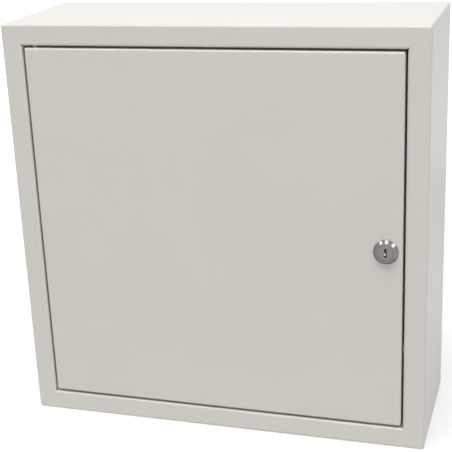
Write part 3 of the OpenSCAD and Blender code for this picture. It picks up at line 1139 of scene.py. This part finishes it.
@dataclass
class Lock:
    """The cam lock: its housing in the door, and the plug and cam that turn.

    Args:
        bezel: Outer radius of the bezel.
        face: Outer radius of its flat front ring.
        edge: Height of its straight edge.
        recess: Radius and depth of the recess for the plug's head.
        barrel: Radius of the threaded barrel, and half the width across its flats.
        pitch: Pitch of the barrel's thread.
        core: How far inside the thread the bezel's back reaches.
        bore: Radius of the barrel's bore.
        boss: Radius inside the barrel's end ring, and the ring's height.
        ear: Half the width of the stop disc's ear, with its play.
        head: Radius and thickness of the plug's head.
        shank: Radius of the plug.
        drive: Half the side of the plug's square.
        key: Width, height and depth of the keyway.
        rib: How far each warding rib stands into the keyway.
        ribs: Where the right and the left rib start and end, as shares of the height.
        wafer: Thickness of a wafer, and its distance from the keyway's sides.
        wafer_edges: Left, right, top and bottom of each wafer's edge as shares of the
            keyway, and how far behind the plug's face it lies.
        screw: Radius of the cam screw's shank, head and crown.
        crown: How far below the top the screw's crown starts and turns flat.
    """

    bezel: float = 11.5
    face: float = 8.9
    edge: float = 1.0
    recess: Pair = (7.55, 3.7)
    barrel: Pair = (9.5, 8.0)
    pitch: float = 1.0
    core: float = 0.6
    bore: float = 6.05
    boss: Pair = (6.4, 1.4)
    ear: float = 2.3
    head: Pair = (7.5, 3.2)
    shank: float = 6.0
    drive: float = 3.5
    key: Triple = (2.4, 8.3, 10.0)
    rib: float = 0.6
    ribs: tuple[Pair, ...] = ((-0.4, -0.22), (-0.1, 0.1))
    wafer: Pair = (0.9, 0.02)
    wafer_edges: tuple[tuple[float, ...], ...] = (
        (-0.5, 0.02, 0.05, 0.35, 0.5),
        (0.2, 0.5, -0.16, -0.07, 2.6),
        (0.2, 0.5, 0.03, 0.12, 3.6),
        (0.2, 0.5, 0.22, 0.31, 4.6),
    )
    screw: Triple = (2.0, 4.0, 3.1)
    crown: Pair = (0.9, 0.1)

    def place(self) -> Matrix:
        """Gives the lock's own frame: Z runs into the door and Y points down."""
        at = joint_mm("lock_turn")
        return Matrix.Translation((at.x, 0, at.z)) @ Matrix.Rotation(math.radians(-90), 4, "X")

    def housing(self) -> None:
        """Makes the bezel and the threaded barrel behind it."""
        low, high = (corner.y for corner in box_mm("lock_housing"))
        skin = box_mm("door_panel")[0].y
        recess, depth = self.recess
        radius, flat = self.barrel
        seat, core = low + depth, radius - self.core
        front = [(recess, seat), (recess, low), (self.face, low), (self.bezel, skin - self.edge)]
        profile = [*front, (self.bezel, skin), (core, skin), (core, seat)]
        ring = rounded(turned(profile, steps=96, ring=True), 0.22, steps=3, angle=20)
        tube = thread(radius, self.pitch, seat, high, steps=64)
        for side in (-1, 1):
            slice_off(tube, Vector((side * flat, 0, 0)), Vector((side, 0, 0)))
        inside, height = self.boss
        end, past = high - height, high + PAST
        bore = bmesh.new()
        bar(bore, up(seat - PAST), up(past), self.bore)
        boss = bmesh.new()
        bar(boss, up(end), up(past), inside)
        spread = math.asin(self.ear / inside)
        far = 2 * radius
        first, last = (
            (far * math.cos(a), far * math.sin(a)) for a in (-spread, math.pi / 2 + spread)
        )
        window = prism([(0, 0), first, (2 * far, 2 * far), last], end, past)
        bm = put_in_place(joined([ring, cut_out(tube, bore, boss, window)]), self.place())
        deliver("lock_casing", bm, Body.DOOR, CHROME, "lock_housing")

    def keyway(self, low: float) -> BMesh:
        """Makes the shape of the keyway, with a warding rib on each side.

        Args:
            low: Height of the plug's face.

        Returns:
            The shape to cut out.
        """
        wide, tall, deep = self.key
        out = wide / 2
        rib = out - self.rib
        (right_low, right_high), (left_low, left_high) = self.ribs
        right = [(out, right_low), (rib, right_low), (rib, right_high), (out, right_high)]
        left = [(-out, left_high), (-rib, left_high), (-rib, left_low), (-out, left_low)]
        corners = [(-out, -0.5), (out, -0.5), *right, (out, 0.5), (-out, 0.5), *left]
        return prism([(x, share * tall) for x, share in corners], low - PAST, low + deep)

    def plug(self) -> None:
        """Makes the plug with its keyway and square."""
        low, high = (corner.y for corner in box_mm("lock_plug"))
        disc = box_mm("lock_stop_disc")[0].y
        radius, thick = self.head
        neck, shank, half = low + thick, self.shank, self.drive
        profile = [(0, low), (radius, low), (radius, neck), (shank, neck), (shank, disc), (0, disc)]
        body = rounded(turned(profile, steps=96), 0.35, steps=3)
        square = bmesh.new()
        block(square, Vector((-half, -half, disc - ON_LINE)), Vector((half, half, high)))
        bm = joined([cut_out(body, self.keyway(low)), rounded(square, 0.3)])
        bm = put_in_place(bm, self.place())
        deliver("key_plug", bm, Body.LOCK_CORE, CHROME, "lock_plug")

    def wafers(self) -> None:
        """Makes the wafers whose edges stand in the keyway."""
        low = box_mm("lock_plug")[0].y
        wide, tall, _ = self.key
        thick, play = self.wafer
        out = wide / 2 - play
        bm = bmesh.new()
        for left, right, top, bottom, behind in self.wafer_edges:
            near = low + behind
            block(
                bm,
                Vector((max(left * wide, -out), top * tall, near)),
                Vector((min(right * wide, out), bottom * tall, near + thick)),
            )
        bm = put_in_place(rounded(bm, 0.2, steps=3), self.place())
        deliver("wafers", bm, Body.LOCK_CORE, NICKEL)

    def cam_screw(self) -> None:
        """Makes the cam's slotted screw."""
        low, high = (corner.y for corner in box_mm("cam_screw"))
        washer = box_mm("cam_washer")[1].y
        shank, radius, crown = self.screw
        start, flat = self.crown
        top = [(radius, high - start), (crown, high - flat), (0, high)]
        head = turned([(0, washer), (radius, washer), *top], steps=48)
        head = slotted(rounded(head, 0.2, angle=20), radius, high)
        rod = bmesh.new()
        bar(rod, up(low), up(washer), shank, steps=24)
        bm = put_in_place(joined([head, rod]), self.place())
        deliver("slotted_cam_screw", bm, Body.LOCK_CORE, ZINC, "cam_screw")

    def build(self) -> None:
        """Makes the lock's pieces."""
        self.housing()
        refined("lock_washer", Body.DOOR, ZINC)
        refined("lock_nut", Body.DOOR, ZINC, edge=0.2)
        self.plug()
        self.wafers()
        refined("lock_stop_disc", Body.LOCK_CORE, ZINC, edge=0.1)
        refined("lock_cam", Body.LOCK_CORE, ZINC, edge=0.3, steps=3)
        refined("cam_washer", Body.LOCK_CORE, ZINC, edge=0.1)
        self.cam_screw()


# ---- Studio


@dataclass
class Lamp:
    """A rectangular soft box.

    Args:
        name: Its name without soft_box behind.
        at: Where it stands, in metres.
        aim: The point that it faces, in metres.
        size: Its width and height in metres.
        power: Its power in watts.
        mirrored: Whether shiny metal shows it.
    """

    name: str
    at: Triple
    aim: Triple
    size: Pair
    power: float
    mirrored: bool = True

    def build(self) -> None:
        """Sets up the lamp."""
        name = self.name + "_soft_box"
        data = bpy.data.lights.new(name, "AREA")
        data.shape = "RECTANGLE"
        data.size, data.size_y = self.size
        data.energy = self.power
        lamp = add_object(name, data)
        lamp.visible_camera = False
        lamp.visible_glossy = self.mirrored
        lamp.location = self.at
        facing = Vector(self.aim) - Vector(self.at)
        lamp.rotation_euler = facing.to_track_quat("-Z", "Y").to_euler()


@dataclass
class Studio:
    """Camera, soft lamps, pale world and floor.

    Args:
        at: Where the camera stands, in metres.
        azimuth: How far it stands round to the right, in degrees.
        elevation: How far it looks down, in degrees.
        roll: How far it leans, in degrees.
        lens: Focal length for a 36 mm sensor.
        shift: Its lens shift.
        ambient: Strength of the world's light.
        painted_shadow: Where the ground's glow fades out under and right behind the enclosure,
            which paints a shadow there: where the fade starts and ends, along each axis.
    """

    at: Triple = (0.30909, -1.07487, 0.34918)
    azimuth: float = 18.313
    elevation: float = 19.346
    roll: float = -2.682
    lens: float = 88.38
    shift: Pair = (0.02985, 0.01987)
    ambient: float = 0.13
    painted_shadow: tuple[tuple[str, float, float], ...] = (("X", 0.165, 0.195), ("Y", 0.09, 0.135))

    def camera(self) -> None:
        """Sets up the camera."""
        data = bpy.data.cameras.new("camera")
        data.lens = self.lens
        data.sensor_width = 36
        data.shift_x, data.shift_y = self.shift
        data.clip_start, data.clip_end = 0.01, 50
        camera = add_object("camera", data)
        turn = (
            Matrix.Rotation(math.radians(self.azimuth), 4, "Z")
            @ Matrix.Rotation(math.radians(90 - self.elevation), 4, "X")
            @ Matrix.Rotation(math.radians(self.roll), 4, "Z")
        )
        camera.matrix_world = Matrix.Translation(self.at) @ turn
        bpy.context.scene.camera = camera

    def seen(self, tree: NodeTree) -> NodeSocket:
        """Tells rays that show the background from those that light the object.

        Args:
            tree: The node tree of the world or of the ground.

        Returns:
            A socket that is 1 for the rays that show it.
        """
        rays = put(tree, "LightPath")
        seen = rays["Is Camera Ray"]
        for kind in ("Is Glossy Ray", "Is Transmission Ray"):
            seen = put(tree, "Math", {0: seen, 1: rays[kind]}, operation="MAXIMUM")[0]
        return seen

    def world(self) -> None:
        """Sets up the pale world."""
        world = bpy.context.scene.world = bpy.data.worlds.new("pale_room")
        world.use_nodes = True
        tree = world.node_tree
        tree.nodes.clear()
        light, white = (
            put(tree, "Background", {"Color": linear(colour), "Strength": strength})[0]
            for colour, strength in (("#f6f7f8", self.ambient), ("#ffffff", 1.0))
        )
        mix = put(tree, "MixShader", {0: self.seen(tree), 1: light, 2: white})[0]
        put(tree, "OutputWorld", {"Surface": mix})

    def ground(self, name: str, colour: str, glow: float, radius: float, down: float) -> None:
        """Lays one round sheet of ground under the enclosure.

        Args:
            name: Its name.
            colour: Its colour.
            glow: Light that it adds where it is seen, so that it looks white. It fades out
                under and right behind the enclosure, which paints a shadow there.
            radius: Its radius in metres.
            down: Its depth below the enclosure, in metres.
        """
        material = bpy.data.materials.new(name)
        material.use_nodes = True
        tree = material.node_tree
        tree.nodes.clear()
        where = put(tree, "TexCoord")["Object"]
        out = put(tree, "VectorMath", {0: where}, operation="ABSOLUTE")[0]
        axes = put(tree, "SeparateXYZ", {"Vector": out})
        shine = 0.0
        # The glow fades out under and right behind the enclosure: a painted shadow on the ground.
        for axis, near, far in self.painted_shadow:
            fade = {"Value": axes[axis], "From Min": near, "From Max": far, "To Max": glow}
            clear = put(tree, "MapRange", fade, interpolation_type="SMOOTHSTEP")[0]
            shine = put(tree, "Math", {0: shine, 1: clear}, operation="MAXIMUM")[0]
        strength = put(tree, "Math", {0: self.seen(tree), 1: shine}, operation="MULTIPLY")[0]
        paper = put(tree, "BsdfDiffuse", {"Color": linear(colour)})[0]
        white = put(tree, "Emission", {"Color": linear("#ffffff"), "Strength": strength})[0]
        both = put(tree, "AddShader", {0: paper, 1: white})[0]
        put(tree, "OutputMaterial", {"Surface": both})
        bm = bmesh.new()
        bmesh.ops.create_circle(bm, cap_ends=True, radius=radius, segments=64)
        bmesh.ops.translate(bm, vec=(0, 0, cad_box[0].z - down), verts=bm.verts)
        mesh = mesh_from(bm, name)
        mesh.materials.append(material)
        sheet = add_object(name, mesh)

    def build(self) -> None:
        """Sets up the whole studio."""
        self.camera()
        self.world()
        self.ground("paper", "#b8b8b8", glow=0.52, radius=0.9, down=0.0005)
        self.ground("floor", "#8a8a8a", glow=1.0, radius=8.0, down=0.002)
        middle = (0.0, -0.1, 0.0)
        over, behind, low = (0.0, -0.1, 0.1), (0.0, 0.0, 0.05), (-0.12, -0.14, -0.1)
        for lamp in (
            Lamp("overhead", (0.0, -0.8, 2.7), over, (2.4, 1.2), 74.0, False),
            Lamp("back", (-0.8, 2.4, 0.9), behind, (1.4, 1.2), 28.0, False),
            Lamp("top", (-0.08, -1.88, 4.67), middle, (1.6, 1.1), 30.0),
            Lamp("left", (-1.88, -0.9, 2.24), middle, (0.45, 0.65), 8.0),
            Lamp("right", (2.2, -1.11, 1.75), middle, (0.75, 0.85), 12.0),
            Lamp("key", (4.2, -4.3, 0.7), middle, (1.6, 2.0), 58.0),
            Lamp("front", (0.5, -4.0, 1.2), middle, (3.0, 2.0), 38.0),
            Lamp("fill", (-0.7, -0.9, -0.08), low, (0.5, 0.16), 0.4, False),
        ):
            lamp.build()
        bpy.context.scene.view_settings.view_transform = "Standard"


def main() -> None:
    """Builds the enclosure and its studio."""
    logging.basicConfig(level=logging.INFO, format="%(message)s")
    casing = Casing()
    Studio().build()
    casing.build()
    Door(casing).build()
    Hinges().build()
    Fittings().build()
    Lock().build()


if __name__ == "__main__":
    main()
